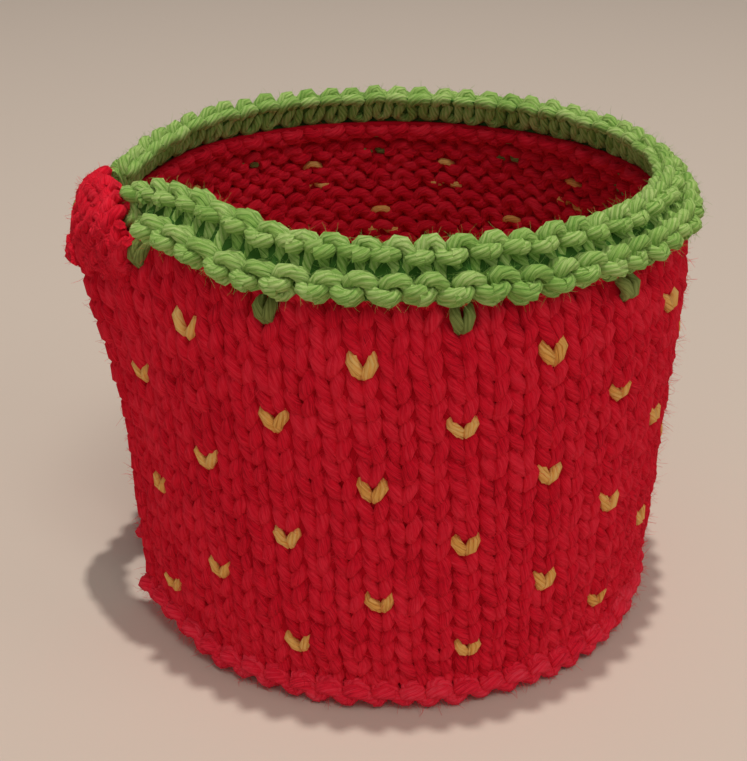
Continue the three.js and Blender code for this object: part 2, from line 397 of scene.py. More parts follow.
def knit_tree():
    """Lays one loop of yarn on each point of a chart, and carries the loops on to the worn cloth."""
    sizes = ("Stitch Width", "Swing", "Pinch", "Slant", "Depth", "Shingle", "Tuck", "Sink",
             "Yarn Radius", "Taper", "Slack")
    inputs = {"Chart": "Geometry", "Draft": "Object", "Material": "Material", "Flat Low": "Vector",
              "Flat Size": "Vector", **{size: "Float" for size in sizes}, "Seed": "Int"}
    tree, given, result = new_tree("Knit loops", inputs, "Stitches")

    # One loop, drawn flat and one unit high: over, up, over the head and down again.
    line = node(tree, "GeometryNodeCurvePrimitiveLine", {"End": (1, 0, 0)}).outputs[0]
    line = node(tree, "GeometryNodeResampleCurve", {"Curve": line, "Count": LOOP_POINTS}).outputs[0]
    share = node(tree, "GeometryNodeSplineParameter").outputs["Factor"]
    bend = math_node(tree, "MULTIPLY_ADD", share, 2 * math.pi + 2 * LOOP_OVERRUN, -LOOP_OVERRUN)
    line = store(tree, line, "bend", bend)
    bend = named(tree, "bend")
    ends = math_node(tree, "COSINE", bend)
    twice = math_node(tree, "MULTIPLY", bend, 2)
    course = math_node(tree, "MULTIPLY_ADD", bend, 1 / (2 * math.pi), -0.5)
    course = math_node(tree, "MULTIPLY", course, given["Stitch Width"])
    swing = math_node(tree, "MULTIPLY", math_node(tree, "SINE", twice), given["Swing"])
    swing = math_node(tree, "MULTIPLY", swing, math_node(tree, "MULTIPLY_ADD", ends, given["Pinch"], 1))
    rise = math_node(tree, "MULTIPLY", ends, -1)
    swing = math_node(tree, "MULTIPLY_ADD", rise, given["Slant"], swing)
    flat_loop = node(tree, "ShaderNodeCombineXYZ", {"X": math_node(tree, "ADD", course, swing), "Y": rise})
    loop = node(tree, "GeometryNodeSetPosition", {"Geometry": line, "Position": flat_loop.outputs[0]})

    # One loop on each chart point, a little turned and sized by chance.
    slack = given["Slack"]
    seed = given["Seed"]
    tilt = math_node(tree, "MULTIPLY", random_number(tree, -TILT_MOST, TILT_MOST, seed, 1), slack)
    tilt = math_node(tree, "ADD", tilt, named(tree, "turn"))
    spin = node(tree, "ShaderNodeCombineXYZ", {"Z": tilt}).outputs[0]
    spin = node(tree, "FunctionNodeEulerToRotation", {0: spin}).outputs[0]
    wide = math_node(tree, "MULTIPLY_ADD", random_number(tree, -SIZE_MOST, SIZE_MOST, seed, 2), slack, 1)
    tall = math_node(tree, "MULTIPLY_ADD", random_number(tree, -SIZE_MOST, SIZE_MOST, seed, 3), slack, 1)
    tall = math_node(tree, "MULTIPLY", tall, named(tree, "half_height"))
    size = node(tree, "ShaderNodeCombineXYZ", {"X": wide, "Y": tall, "Z": 1}).outputs[0]
    laid = node(tree, "GeometryNodeInstanceOnPoints", {
        "Points": given["Chart"], "Instance": loop.outputs[0], "Rotation": spin, "Scale": size}).outputs[0]
    laid = store(tree, laid, "tone", random_number(tree, 0, 1, seed, 4), domain="INSTANCE")
    girth = random_number(tree, 1 - GIRTH_MOST, 1 + GIRTH_MOST, seed, 5)
    laid = store(tree, laid, "plump", girth, domain="INSTANCE")
    yarn = node(tree, "GeometryNodeRealizeInstances", {"Geometry": laid}).outputs[0]

    # Depth: knitted loops bring their legs forward, garter loops their head or their foot.
    legs = math_node(tree, "MULTIPLY", math_node(tree, "COSINE", twice), -1)
    legs = math_node(tree, "MULTIPLY", legs, given["Depth"])
    legs = math_node(tree, "MULTIPLY_ADD", ends, given["Shingle"], legs)
    legs = math_node(tree, "MULTIPLY", legs, named(tree, "stocking"))
    ridge = math_node(tree, "MULTIPLY", ends, named(tree, "garter"))
    ridge = math_node(tree, "MULTIPLY", ridge, given["Depth"])
    depth = math_node(tree, "SUBTRACT", math_node(tree, "ADD", legs, ridge), given["Sink"])
    at_legs = math_node(tree, "SUBTRACT", 1, math_node(tree, "MULTIPLY", ends, ends))
    depth = math_node(tree, "SUBTRACT", depth, math_node(tree, "MULTIPLY", at_legs, given["Tuck"]))
    depth = math_node(tree, "ADD", depth, named(tree, "proud"))
    place = node(tree, "GeometryNodeInputPosition").outputs[0]
    drift = node(tree, "ShaderNodeTexNoise",
                 {"Vector": place, "Scale": DRIFT_SCALE, "Detail": 1}).outputs["Color"]
    drift = vector_node(tree, "SUBTRACT", drift, (0.5, 0.5, 0.5))
    drift = scaled(tree, drift, math_node(tree, "MULTIPLY", slack, DRIFT_SIZE * MM))
    place = vector_node(tree, "ADD", place, drift)
    depth = math_node(tree, "ADD", depth, node(tree, "ShaderNodeSeparateXYZ", {0: drift}).outputs["Z"])

    # From the flat cloth to the worn one.
    spot = vector_node(tree, "SUBTRACT", place, given["Flat Low"])
    spot = vector_node(tree, "DIVIDE", spot, given["Flat Size"])
    draft = node(tree, "GeometryNodeObjectInfo", {"Object": given["Draft"]}).outputs["Geometry"]
    wanted = {"Mesh": draft, "UV Map": named(tree, "flat", "FLOAT_VECTOR"), "Sample UV": spot}
    on_cloth = node(tree, "GeometryNodeSampleUVSurface", wanted, data_type="FLOAT_VECTOR")
    tree.links.new(node(tree, "GeometryNodeInputPosition").outputs[0], on_cloth.inputs["Value"])
    outward = node(tree, "GeometryNodeSampleUVSurface", wanted, data_type="FLOAT_VECTOR")
    tree.links.new(named(tree, "outward", "FLOAT_VECTOR"), outward.inputs["Value"])
    worn = vector_node(tree, "ADD", on_cloth.outputs[0], scaled(tree, outward.outputs[0], depth))
    yarn = store(tree, yarn, "facing", outward.outputs[0], "FLOAT_VECTOR")
    yarn = node(tree, "GeometryNodeSetPosition", {"Geometry": yarn, "Position": worn}).outputs[0]
    yarn = store(tree, yarn, "along", node(tree, "GeometryNodeSplineParameter").outputs["Length"])

    # The round yarn itself, thinner where it passes behind.
    ring = node(tree, "GeometryNodeCurvePrimitiveCircle",
                {"Resolution": YARN_SIDES, "Radius": given["Yarn Radius"]}).outputs[0]
    around = node(tree, "GeometryNodeInputPosition").outputs[0]
    ring = store(tree, ring, "around", around, "FLOAT_VECTOR")
    thin = math_node(tree, "MULTIPLY", math_node(tree, "MULTIPLY", ends, ends), given["Taper"])
    girth = math_node(tree, "MULTIPLY", named(tree, "plump"), math_node(tree, "SUBTRACT", 1, thin))
    tube = node(tree, "GeometryNodeCurveToMesh", {
        "Curve": yarn, "Profile Curve": ring, "Scale": girth, "Fill Caps": True}).outputs[0]
    tube = node(tree, "GeometryNodeSetShadeSmooth", {"Geometry": tube}).outputs[0]
    tube = node(tree, "GeometryNodeRealizeInstances", {"Geometry": tube}).outputs[0]
    tube = node(tree, "GeometryNodeSetMaterial", {"Geometry": tube, "Material": given["Material"]}).outputs[0]
    tree.links.new(tube, result)
    return tree


KNIT_LOOPS = knit_tree()


def run_tree(piece, tree, values):
    """Runs a tree on an object with these inputs, and leaves the result as its plain mesh."""
    modifier = piece.modifiers.new(tree.name, "NODES")
    modifier.node_group = tree
    for socket in tree.interface.items_tree:
        if socket.name in values:
            modifier[socket.identifier] = values[socket.name]
    piece.update_tag()
    graph = bpy.context.evaluated_depsgraph_get()
    mesh = bpy.data.meshes.new_from_object(piece.evaluated_get(graph), depsgraph=graph)
    piece.modifiers.remove(modifier)
    source = piece.data
    piece.data = mesh
    bpy.data.meshes.remove(source)
    mesh.name = piece.name


def knit(name, chart, draft, material, slot, seed, slack, **sizes):
    """Knits a chart of stitches (across, up, half height, stocking, garter, proud, turn) on to a draft."""
    table = np.array(chart)
    places = np.column_stack((table[:, :2], np.zeros(len(table)))) * MM
    piece = new_object(name, places, [])
    columns = {"half_height": table[:, 2] * MM, "stocking": table[:, 3], "garter": table[:, 4],
               "proud": table[:, 5] * MM, "turn": table[:, 6]}
    for column, numbers in columns.items():
        kept = piece.data.attributes.new(column, "FLOAT", "POINT")
        kept.data.foreach_set("value", numbers.astype(np.float32))
    shares = ("pinch", "taper")
    values = {}
    for key, size in sizes.items():
        values[key.replace("_", " ").title()] = size if key in shares else size * MM
    values.update({"Slack": slack, "Seed": seed, "Draft": draft, "Material": material})
    values["Flat Low"] = (draft["low"][0] * MM, draft["low"][1] * MM, 0)
    values["Flat Size"] = (draft["size"][0] * MM, draft["size"][1] * MM, 1)
    run_tree(piece, KNIT_LOOPS, values)
    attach(piece, "root")
    return piece


def garter_ridge(low, high, half_height):
    """The two rows of loops (middle, garter) whose feet and heads make one ridge between two heights."""
    return ((low + half_height, 1), (high - half_height, -1))


# The strap's front edge, seen from the slot's side: distance to the front at each height, and its back edge.
STRAP_FRONT_HEIGHT = (STRAP_BOTTOM, 76.5, 82.8, 90)
STRAP_FRONT = (16.5, 22.5, 8.5, 8)
STRAP_BACK = 6.0


def before_strap(turn, height, hug=0):
    """How far places lie from the strap's nearer edge, in millimetres, and less than zero on the strap."""
    points = cloth_point(turn, height, 0, hug) / MM
    to_front = -points[..., 1] - np.interp(points[..., 2], STRAP_FRONT_HEIGHT, STRAP_FRONT)
    to_back = points[..., 1] - STRAP_BACK
    clear = np.maximum(to_front, to_back)
    clear = np.maximum(clear, STRAP_BOTTOM - points[..., 2])
    return np.where(points[..., 0] > 0, np.inf, clear)


# The draft reaches past the panel on all sides.
PANEL_DRAFT_GRID = (220, 42)
PANEL_DRAFT_OVER = 3
PANEL_DRAFT_HIGH = 79
draft_across = np.linspace(-PANEL_DRAFT_OVER, PANEL_WIDE + PANEL_DRAFT_OVER, PANEL_DRAFT_GRID[0])
draft_up = np.linspace(-PANEL_DRAFT_OVER, PANEL_DRAFT_HIGH, PANEL_DRAFT_GRID[1])
draft_turn = np.stack([panel_turns(draft_across, height) for height in draft_up], axis=1)
draft_height = np.tile(draft_up, (draft_across.size, 1))
panel_draft = flat_draft("panel_draft", draft_turn, draft_height, draft_across, draft_up)

# Seeds stand in every third row, six columns apart, and each row of them is set half-way along the last.
# Each leaf tip is drawn a little along its row, and the first one by a whole stitch.
FIRST_ROW, LAST_ROW = -2, 17
SEED_ROWS = range(0, 16, 3)
SEED_REPEAT = 6
SEED_COLUMN = 5
HALF_WAY_COLUMN = (SEED_COLUMN + SEED_REPEAT // 2) % SEED_REPEAT
TIP_ROW = 17
TIP_SHIFT = 0.6
HALF_LOOP = 2.9
SEED_HALF_LOOP = 2.5
EDGE_IN = 2.6
EDGE_STITCH = 3.0
EDGE_PROUD = 0.3

plain_chart, edge_chart, seed_chart, tip_chart = [], [], [], []
for row in range(FIRST_ROW, LAST_ROW + 1):
    up = FIRST_SEED_ROW + ROW_RISE * row
    first_seed = SEED_COLUMN if row % 2 else HALF_WAY_COLUMN
    for column in range(STITCH_COLUMNS):
        across = (column + 0.5) * STITCH_WIDE
        edge = column in (0, STITCH_COLUMNS - 1)
        if edge:
            across = EDGE_IN if column == 0 else PANEL_WIDE - EDGE_IN
        on_repeat = column % SEED_REPEAT == first_seed
        proud = np.interp(up, TUCKED_HEIGHT, TUCKED_PROUD) + (EDGE_PROUD if edge else 0)
        stitch = (across, up, HALF_LOOP, 1, 0, proud, 0)
        clear = before_strap(panel_turns(np.array([across]), up), up)[0]
        on_tip = column % SEED_REPEAT == HALF_WAY_COLUMN
        if row == TIP_ROW and on_tip:
            drawn = STITCH_WIDE if column < SEED_REPEAT else TIP_SHIFT
            tip_chart.append((across + drawn, up, SEED_HALF_LOOP, *stitch[3:]))
        elif edge and clear > 0:
            edge_chart.append(stitch)
        elif row in SEED_ROWS and on_repeat and clear > 0:
            seed_chart.append((across, up, SEED_HALF_LOOP, *stitch[3:]))
        elif clear > 0:
            plain_chart.append(stitch)

# The last red loops are short, and are drawn up behind the collar where it was picked up.
PICKED_HEIGHT = 74.6
PICKED_HALF_LOOP = 1.2
for column in range(STITCH_COLUMNS):
    across = (column + 0.5) * STITCH_WIDE
    if before_strap(panel_turns(np.array([across]), PICKED_HEIGHT), PICKED_HEIGHT)[0] > 0:
        plain_chart.append((across, PICKED_HEIGHT, PICKED_HALF_LOOP, 1, 0, TUCKED_PROUD[-1], 0))

HEM_LOW, HEM_HIGH = 1.8, 3.7
HEM_HALF_LOOP = 1.3
hem_chart = []
for up, garter in garter_ridge(HEM_LOW, HEM_HIGH, HEM_HALF_LOOP):
    for column in range(STITCH_COLUMNS):
        hem_chart.append(((column + 0.5) * STITCH_WIDE, up, HEM_HALF_LOOP, 0, garter, 0, 0))

panel_sizes = {"stitch_width": STITCH_WIDE, "swing": 1.0, "pinch": 0.25, "slant": 0.0, "depth": 0.75,
               "shingle": 0.4, "tuck": 0.0, "sink": 1.8, "yarn_radius": 1.28, "taper": 0.2}
panel_stitches = knit("panel_stitches", plain_chart, panel_draft, red_wool, "red_yarn",
                      seed=11, slack=1.0, **panel_sizes)
edge_sizes = {**panel_sizes, "stitch_width": EDGE_STITCH, "swing": 0.7, "depth": 1.2, "sink": 2.3}
edge_stitches = knit("edge_stitches", edge_chart, panel_draft, red_wool, "red_yarn",
                     seed=17, slack=0.7, **edge_sizes)
# The hem's red is lighter than the panel's: painted light, for the light from above that the jutting ridge
# catches.
hem_wool = wool("hem_wool", linear(186, 14, 38), linear(242, 34, 60), linear(252, 78, 98),
                bump_depth=0.2, ply_share=0.12, sheen=0.6)
hem_sizes = {**panel_sizes, "swing": 0.45, "pinch": 0.0, "slant": -0.5, "sink": 0.1, "taper": 0.0}
hem_stitches = knit("hem_stitches", hem_chart, panel_draft, hem_wool, "red_yarn",
                    seed=12, slack=0.6, **hem_sizes)


# Seeds and leaf tips
# Single stitches of ochre and green wool, knitted into the red rows in place of a red stitch. The seeds
# are scattered over the whole panel; the leaf tips stand in its top row, under the collar.
ochre_wool = wool("ochre_wool", linear(190, 112, 40), linear(242, 176, 88), linear(252, 212, 136),
                  bump_depth=0.2, ply_share=0.2, sheen=0.3)
# The leaf tips are the collar's green yarn, drawn darker and duller: painted shade from the collar above
# them.
olive_wool = wool("olive_wool", linear(76, 88, 38), linear(124, 136, 70), linear(158, 168, 98),
                  bump_depth=0.2, ply_share=0.2, sheen=0.3)
seed_sizes = {**panel_sizes, "swing": 1.18, "shingle": 0.3, "depth": 1.0, "sink": 1.7,
              "yarn_radius": 1.0, "taper": 0.35}
tip_sizes = {**seed_sizes, "stitch_width": 3.4, "swing": 0.75, "depth": 1.4, "sink": 0.9}
seed_stitches = knit("seed_stitches", seed_chart, panel_draft, ochre_wool, "yellow_yarn",
                     seed=13, slack=0.7, **seed_sizes)
leaf_tips = knit("leaf_tips", tip_chart, panel_draft, olive_wool, "green_yarn",
                 seed=14, slack=0.7, **tip_sizes)


# Strap
# A short red band, worked on from the panel's two edges and joined across the top of the slot. It is
# thicker than the panel, with a garter ridge along its lower edge, and rises to a peak by the collar's end.

# Its rows and its ridge stand at these heights on the worn cloth, and it bulges more towards its top.
STRAP_ROWS = (70.6, 73.8, 77.0)
STRAP_EDGE = (67.2, 69.2)
STRAP_HALF_LOOP = 2.4
STRAP_EDGE_HALF_LOOP = 1.3
STRAP_STITCH = 3.9
STRAP_FIRST_STITCH = 1.5
STRAP_RIDGE_FRONT = 7.0
STRAP_BULGE_HEIGHT = (67, 71, 74, 77, 80)
STRAP_BULGE = (-1.0, -0.7, 0.2, 1.3, 2.0)
STRAP_REACH = max(STRAP_FRONT)
STRAP_SIDE_GAP = 0.8
STRAP_TURNS = np.linspace(-math.radians(50), math.radians(50), 400)
PLACING_STEPS = 4

# A band of stitches runs along the strap's front edge and over its peak: distance to the front, and height.
STRAP_BAND_FRONT = (17.0, 18.6, 7.2, -4.0)
STRAP_BAND_HEIGHT = (68.0, 75.0, 79.4, 76.4)
STRAP_BAND_START = 0.5
STRAP_BAND_PACE = 2.6
STRAP_BAND_WIDE = 3.2
STRAP_BAND_HALF_LOOP = 2.3


def strap_turn(front, height, hug=0):
    """The turns at which the cloth reaches these distances to the front, at these heights by the slot."""
    reach = [-cloth_point(STRAP_TURNS, each, 0, hug)[..., 1] / MM for each in height]
    return np.array([np.interp(wanted, line, STRAP_TURNS) for wanted, line in zip(front, reach)])


def strap_place(front, worn_height):
    """The turns and flat heights of places on the worn cloth, by their distance to the front and height."""
    height = np.array(worn_height)
    for _ in range(PLACING_STEPS):
        turn = strap_turn(front, height)
        height = height + worn_height - cloth_point(turn, height, 0)[..., 2] / MM
    return turn, height


def front_turn(height, clear, hug=0):
    """The turns of the strap's front edge at these heights, moved on by a clearance."""
    collar_end = np.full(len(height), math.radians(END_LIFT[0]))
    worn_height = cloth_point(collar_end, height, 0, hug)[..., 2] / MM
    return strap_turn(np.interp(worn_height, STRAP_FRONT_HEIGHT, STRAP_FRONT) + clear, height, hug)


def strap_bottom(front):
    """The worn height of the strap's lower edge, at distances to the front."""
    return np.interp(front, STRAP_FRONT[:2], STRAP_FRONT_HEIGHT[:2])


def strap_top(front):
    """The worn height of the strap's upper edge, at distances to the front: its peak or the cosy's top."""
    top = np.full(len(front), COSY_HIGH)
    brim = cloth_point(strap_turn(front, top), top, 0)[..., 2] / MM
    return np.minimum(np.interp(front, STRAP_FRONT[2:0:-1], STRAP_FRONT_HEIGHT[2:0:-1]), brim)


# The thin sheet stops short of the strap's outline, and lies behind the face of the stitches.
STRAP_CORE_GRID = (24, 14)
STRAP_CORE_BACK = 0.5
STRAP_CORE_FRONT = 3.2
STRAP_CORE_LOW = 0.7
STRAP_CORE_HIGH = 1.2
STRAP_CORE_BEHIND = 0.7
STRAP_CORE_THICK = 1.0
core_front = np.linspace(STRAP_CORE_BACK - STRAP_BACK, STRAP_REACH - STRAP_CORE_FRONT, STRAP_CORE_GRID[0])
core_low = strap_bottom(core_front)[:, None] + STRAP_CORE_LOW
core_high = strap_top(core_front)[:, None] - STRAP_CORE_HIGH
core_worn = core_low + np.linspace(0, 1, STRAP_CORE_GRID[1]) * (core_high - core_low)
core_turn, core_height = strap_place(np.repeat(core_front, STRAP_CORE_GRID[1]), core_worn.ravel())
core_out = np.interp(core_worn, STRAP_BULGE_HEIGHT, STRAP_BULGE) - STRAP_CORE_BEHIND
strap_cloth = thin_cloth("strap_cloth", core_turn.reshape(STRAP_CORE_GRID),
                         core_height.reshape(STRAP_CORE_GRID), core_out, core_out - STRAP_CORE_THICK)
# The strap's sheet takes the same darker red: painted shade where it shows between the loops.
strap_cloth.data.materials.append(red_painted_shade)
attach(strap_cloth, "root")
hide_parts("handle_strap")

# The strap's flat size, and the flat area inside its outline.
STRAP_OUTLINE_STEPS = 60
strap_width = np.linspace(-STRAP_BACK, STRAP_REACH, STRAP_OUTLINE_STEPS)
strap_area = np.mean(strap_top(strap_width) - strap_bottom(strap_width)) * (STRAP_BACK + STRAP_REACH)

# The draft reaches past the strap on all sides.
STRAP_DRAFT_GRID = (60, 30)
STRAP_DRAFT_BACK = 4
STRAP_DRAFT_FRONT = 7
STRAP_DRAFT_BELOW = 4
STRAP_DRAFT_ABOVE = 5
STRAP_MEASURED_AT = STRAP_BOTTOM + 6
strap_arc = arc_lengths(STRAP_MEASURED_AT)
strap_behind = STRAP_BACK + STRAP_SIDE_GAP
strap_along = np.linspace(-STRAP_DRAFT_BACK, strap_behind + STRAP_REACH + STRAP_DRAFT_FRONT,
                          STRAP_DRAFT_GRID[0])
from_middle = strap_along - strap_behind
strap_turns = np.sign(from_middle) * np.interp(np.abs(from_middle), strap_arc, HALF_TURNS)
strap_up = np.linspace(STRAP_BOTTOM - STRAP_DRAFT_BELOW, COSY_HIGH + STRAP_DRAFT_ABOVE, STRAP_DRAFT_GRID[1])
strap_draft = flat_draft("strap_draft", np.tile(strap_turns[:, None], (1, STRAP_DRAFT_GRID[1])),
                         np.tile(strap_up, (STRAP_DRAFT_GRID[0], 1)), strap_along, strap_up)

strap_rows = [(height, STRAP_HALF_LOOP, 1, 0) for height in STRAP_ROWS]
for height, garter in garter_ridge(*STRAP_EDGE, STRAP_EDGE_HALF_LOOP):
    strap_rows.append((height, STRAP_EDGE_HALF_LOOP, 0, garter))
strap_chart = []
for worn_height, half_height, stocking, garter in strap_rows:
    band_edge = np.interp(worn_height, STRAP_FRONT_HEIGHT, STRAP_FRONT) - STRAP_BAND_WIDE
    if garter:
        band_edge = STRAP_RIDGE_FRONT
    fronts = np.arange(STRAP_FIRST_STITCH - STRAP_BACK, band_edge, STRAP_STITCH)
    turns, ups = strap_place(fronts, np.full(len(fronts), worn_height))
    proud = 0 if garter else np.interp(worn_height, STRAP_BULGE_HEIGHT, STRAP_BULGE)
    for across, up in zip(np.interp(turns, strap_turns, strap_along), ups):
        strap_chart.append((across, up, half_height, stocking, garter, proud, 0))
band_steps = np.hypot(np.diff(STRAP_BAND_FRONT), np.diff(STRAP_BAND_HEIGHT))
band_length = np.concatenate(([0], np.cumsum(band_steps)))
band_places = np.arange(STRAP_BAND_START, band_length[-1], STRAP_BAND_PACE)
band_height = np.interp(band_places, band_length, STRAP_BAND_HEIGHT)
band_turn, band_up = strap_place(np.interp(band_places, band_length, STRAP_BAND_FRONT), band_height)
band_proud = np.interp(band_height, STRAP_BULGE_HEIGHT, STRAP_BULGE)
band_across = np.interp(band_turn, strap_turns, strap_along)
band_slope = np.arctan2(np.gradient(band_up), np.gradient(band_across)) - math.pi / 2
for across, up, proud, slope in zip(band_across, band_up, band_proud, band_slope):
    strap_chart.append((across, up, STRAP_BAND_HALF_LOOP, 1, 0, proud, slope))
strap_sizes = {**panel_sizes, "stitch_width": STRAP_STITCH, "swing": 1.0, "depth": 0.5, "sink": 0.6}
strap_stitches = knit("strap_stitches", strap_chart, strap_draft, red_wool, "red_yarn",
                      seed=15, slack=1.0, **strap_sizes)


# Collar
# Green wool in garter stitch, picked up along the panel's top edge: two ridges of purl bumps with a dark
# valley between them. It leans in towards its cast-off edge and stops at either side of the strap.
COLLAR_BOTTOM = PANEL_HIGH + 0.3
COLLAR_STITCH = 4.95
COLLAR_HUG = 0.3
COLLAR_MEASURED_AT = 77
SLOPE_BELOW = 5
SLOPE_ABOVE = 3
SLOPE_STEPS = 72
collar_arc = arc_lengths(COLLAR_MEASURED_AT)
collar_to = 2 * math.pi - np.interp(STRAP_BACK + STRAP_SIDE_GAP, collar_arc, HALF_TURNS)
ring_turns = np.concatenate((HALF_TURNS, 2 * math.pi - HALF_TURNS[-2::-1]))
ring_arc = np.concatenate((collar_arc, 2 * collar_arc[-1] - collar_arc[-2::-1]))
collar_long = np.interp(collar_to, ring_turns, ring_arc)
slope_height = np.linspace(COLLAR_BOTTOM - SLOPE_BELOW, COSY_HIGH + SLOPE_ABOVE, SLOPE_STEPS)
slope_steps = np.hypot(np.diff(slope_height), np.diff(np.interp(slope_height, WALL_HEIGHT, WALL_ROUND)))
slope_length = np.concatenate(([0], np.cumsum(slope_steps)))
slope_length -= np.interp(COLLAR_BOTTOM, slope_height, slope_length)
COLLAR_WIDE = np.interp(COSY_HIGH, slope_height, slope_length)


def collar_hug(height):
    """How far the collar hugs the round wall at each height."""
    return COLLAR_HUG * (height - PANEL_HIGH) / (COSY_HIGH - PANEL_HIGH)


green_wool = wool("green_wool", linear(86, 134, 54), linear(138, 180, 86), linear(190, 214, 136),
                  bump_depth=0.2, ply_share=0.26, sheen=0.4)
# The sheet behind the collar's loops is darker green: painted shade in the gaps and the valley.
green_painted_shade = wool("green_wool_depth", linear(50, 92, 36), linear(74, 120, 50), linear(100, 148, 70),
                   bump_depth=0.3, ply_share=0.0, sheen=0.1)

# The thin sheet: how far out it lies, and how far it keeps from the strap, by distance up the collar.
COLLAR_CORE_GRID = (180, 10)
COLLAR_CORE_LOW = -0.4
COLLAR_CORE_SHORT = 1.9
COLLAR_CORE_THICK = 1.0
COLLAR_OUT_UP = (COLLAR_CORE_LOW, 1.8)
COLLAR_OUT = (-1.6, -1.2)
COLLAR_CLEAR_UP = (2.0, 5.0)
COLLAR_CLEAR = (4.2, 1.0)
COLLAR_MIDDLE = PANEL_HIGH + 4
core_up = np.linspace(COLLAR_CORE_LOW, COLLAR_WIDE - COLLAR_CORE_SHORT, COLLAR_CORE_GRID[1])
core_out = np.interp(core_up, COLLAR_OUT_UP, COLLAR_OUT)
core_clear = np.interp(core_up, COLLAR_CLEAR_UP, COLLAR_CLEAR)
core_height = np.interp(core_up, slope_length, slope_height)
core_front = front_turn(core_height, core_clear, collar_hug(COLLAR_MIDDLE))
core_turn = core_front + np.linspace(0, 1, COLLAR_CORE_GRID[0])[:, None] * (collar_to - core_front)
core_height = np.tile(core_height, (COLLAR_CORE_GRID[0], 1))
collar_cloth = thin_cloth("collar_cloth", core_turn, core_height, core_out, core_out - COLLAR_CORE_THICK,
                          collar_hug(core_height))
collar_cloth.data.materials.append(green_painted_shade)
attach(collar_cloth, "root")
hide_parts("collar")

# The draft runs on past the collar's end and its edges.
COLLAR_DRAFT_GRID = (260, 28)
COLLAR_DRAFT_OVER = 4
collar_along = np.linspace(0, collar_long + COLLAR_DRAFT_OVER, COLLAR_DRAFT_GRID[0])
collar_turn = np.interp(collar_along, ring_arc, ring_turns)
collar_turn = np.tile(collar_turn[:, None], (1, COLLAR_DRAFT_GRID[1]))
collar_up = np.linspace(slope_length[0], slope_length[-1], COLLAR_DRAFT_GRID[1])
collar_height = np.interp(collar_up, slope_length, slope_height)
collar_height = np.tile(collar_height, (COLLAR_DRAFT_GRID[0], 1))
collar_draft = flat_draft("collar_draft", collar_turn, collar_height, collar_along, collar_up,
                          collar_hug(collar_height))

LOWER_RIDGE = (0.9, 3.2)
LOWER_HALF_LOOP = 1.5
LOWER_PROUD = 0.8
LOWER_CLEAR = 4.0
UPPER_RIDGE = (6.5, 8.6)
UPPER_HALF_LOOP = 1.2
UPPER_PROUD = 0.4
SPAN_HALF_LOOP = 2.8
SPAN_RISEN = 0.5
COLLAR_YARN = 1.1

# Beside the strap the upper ridge rides up (turn, lift, spread), and the row that spans the valley stretches.
COLLAR_RISE = (40, 1.4, 30)

# Rows of loops: middle, half height, garter, proud, clearance from the strap's front, share of the rise.
collar_rows = [(up, LOWER_HALF_LOOP, garter, LOWER_PROUD, LOWER_CLEAR, 0)
               for up, garter in garter_ridge(*LOWER_RIDGE, LOWER_HALF_LOOP)]
collar_rows.append((UPPER_RIDGE[0] + UPPER_HALF_LOOP, UPPER_HALF_LOOP, 1, UPPER_PROUD, 0, 1))
collar_rows.append(((LOWER_RIDGE[1] + UPPER_RIDGE[1]) / 2, SPAN_HALF_LOOP, -1, 0, 0, SPAN_RISEN))
collar_columns = round(collar_long / COLLAR_STITCH)
collar_stitch = collar_long / collar_columns
collar_chart = []
for up, half_height, garter, proud, clear, risen in collar_rows:
    for column in range(collar_columns):
        across = (column + 0.5) * collar_stitch
        height = np.interp(up - garter * half_height, slope_length, slope_height)
        turn = np.interp(across, ring_arc, ring_turns)
        needed = clear if turn < math.pi else 0
        if before_strap(np.array([turn]), height, collar_hug(height))[0] > needed:
            rise = risen * lift_near(COLLAR_RISE, turn)
            stretch = rise if risen < 1 else 0
            collar_chart.append((across, up + rise, half_height + stretch, 0, garter, proud, 0))
collar_sizes = {"stitch_width": collar_stitch, "swing": 0.8, "pinch": 0.0, "slant": -0.6, "depth": 1.2,
                "shingle": 0.0, "tuck": 0.9, "sink": 0.6, "yarn_radius": COLLAR_YARN, "taper": 0.0}
collar_stitches = knit("collar_stitches", collar_chart, collar_draft, green_wool, "green_yarn",
                       seed=16, slack=0.9, **collar_sizes)

for draft in (panel_draft, strap_draft, collar_draft):
    bpy.data.objects.remove(draft)


# Fuzz
# Fine wool fibres that have worked loose from the red yarn and the collar's, and stand off it in short
# soft curls. They give the cloth its soft outline; on the panel longer, finer ones have strayed.
FIBRE_POINTS = 3
FIBRE_SIDES = 3
FIBRE_TAPER = 0.6
FIBRE_SHORTEST = 0.4
FIBRE_LONGEST = 1.6
FACING_OUT = 0.1
WAFT_SCALE = 430


